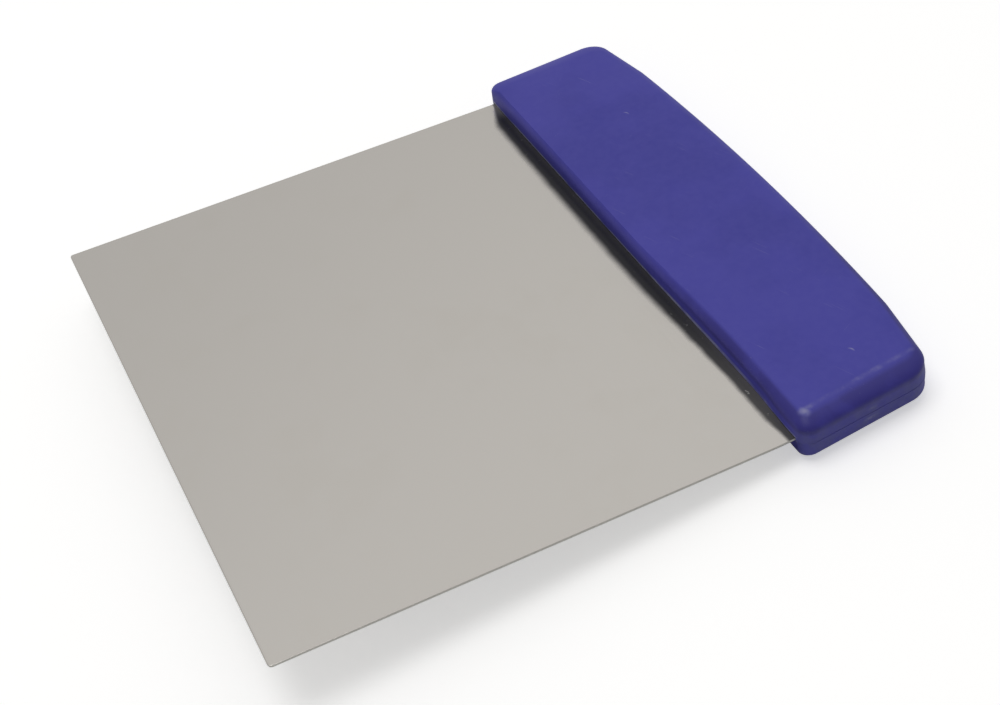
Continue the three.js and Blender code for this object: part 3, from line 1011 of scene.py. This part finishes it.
def sky():
    """A soft studio all round: brighter behind the knife, dimmer low down beside the camera."""
    world = bpy.data.worlds.new("studio")
    world.use_nodes = True
    bpy.context.scene.world = world
    nodes = world.node_tree.nodes
    links = world.node_tree.links
    background = nodes["Background"]
    direction = nodes.new("ShaderNodeTexCoord").outputs["Generated"]

    def glow(towards, edge, middle, low, high):
        """A soft patch of light: low past its edge and high in its middle, both given as cosines."""
        dot = nodes.new("ShaderNodeVectorMath")
        dot.operation = "DOT_PRODUCT"
        links.new(direction, dot.inputs[0])
        dot.inputs[1].default_value = Vector(towards).normalized()
        ramp = nodes.new("ShaderNodeMapRange")
        ramp.interpolation_type = "SMOOTHSTEP"
        links.new(dot.outputs["Value"], ramp.inputs["Value"])
        names = ("From Min", "From Max", "To Min", "To Max")
        for name, value in zip(names, (edge, middle, low, high)):
            ramp.inputs[name].default_value = value
        return ramp.outputs[0]

    total = nodes.new("ShaderNodeMath")
    links.new(glow(*GLOW_BEHIND), total.inputs[0])
    links.new(glow(*GLOW_ABOVE), total.inputs[1])
    backdrop = nodes.new("ShaderNodeMix")
    links.new(nodes.new("ShaderNodeLightPath").outputs["Is Camera Ray"], backdrop.inputs["Factor"])
    links.new(total.outputs[0], backdrop.inputs["A"])
    backdrop.inputs["B"].default_value = BACKDROP
    links.new(backdrop.outputs["Result"], background.inputs["Strength"])
    background.inputs["Color"].default_value = (*STUDIO_WHITE, 1.0)


def soft_box():
    """A square soft box that faces the middle of the knife."""
    light = bpy.data.lights.new("key", "AREA")
    light.size = KEY_SIZE
    light.energy = KEY_POWER
    lamp = bpy.data.objects.new("key", light)
    bpy.context.scene.collection.objects.link(lamp)
    lamp.location = KEY_PLACE
    lamp.rotation_euler = (KEY_AIM - KEY_PLACE).to_track_quat("-Z", "Y").to_euler()


def camera():
    """The camera, from its azimuth, elevation and roll: "back" points from the knife to the lens."""
    back = Vector((
        math.sin(CAMERA_AZIMUTH) * math.cos(CAMERA_ELEVATION),
        -math.cos(CAMERA_AZIMUTH) * math.cos(CAMERA_ELEVATION),
        math.sin(CAMERA_ELEVATION),
    ))
    level = Vector((0, 0, 1)).cross(back).normalized()
    upright = back.cross(level)
    right = level * math.cos(CAMERA_ROLL) + upright * math.sin(CAMERA_ROLL)
    up = upright * math.cos(CAMERA_ROLL) - level * math.sin(CAMERA_ROLL)
    lens = bpy.data.cameras.new("camera")
    lens.lens = CAMERA_LENS
    lens.clip_start = 0.01
    viewer = bpy.data.objects.new("camera", lens)
    bpy.context.scene.collection.objects.link(viewer)
    turn = Matrix((right, up, back)).transposed().to_4x4()
    viewer.matrix_world = Matrix.Translation(CAMERA_PLACE) @ turn
    bpy.context.scene.camera = viewer


# ---- The knife ----

plastic = violet_plastic()
zinc = zinc_plate()
top_shell(plastic)
bottom_shell(plastic)
blade(spring_steel(), shorn_edge_steel())
for number, node in enumerate(SCREWS, start=1):
    screw(number, node, zinc)

floor()
sky()
soft_box()
camera()
bpy.context.scene.view_settings.view_transform = "Standard"
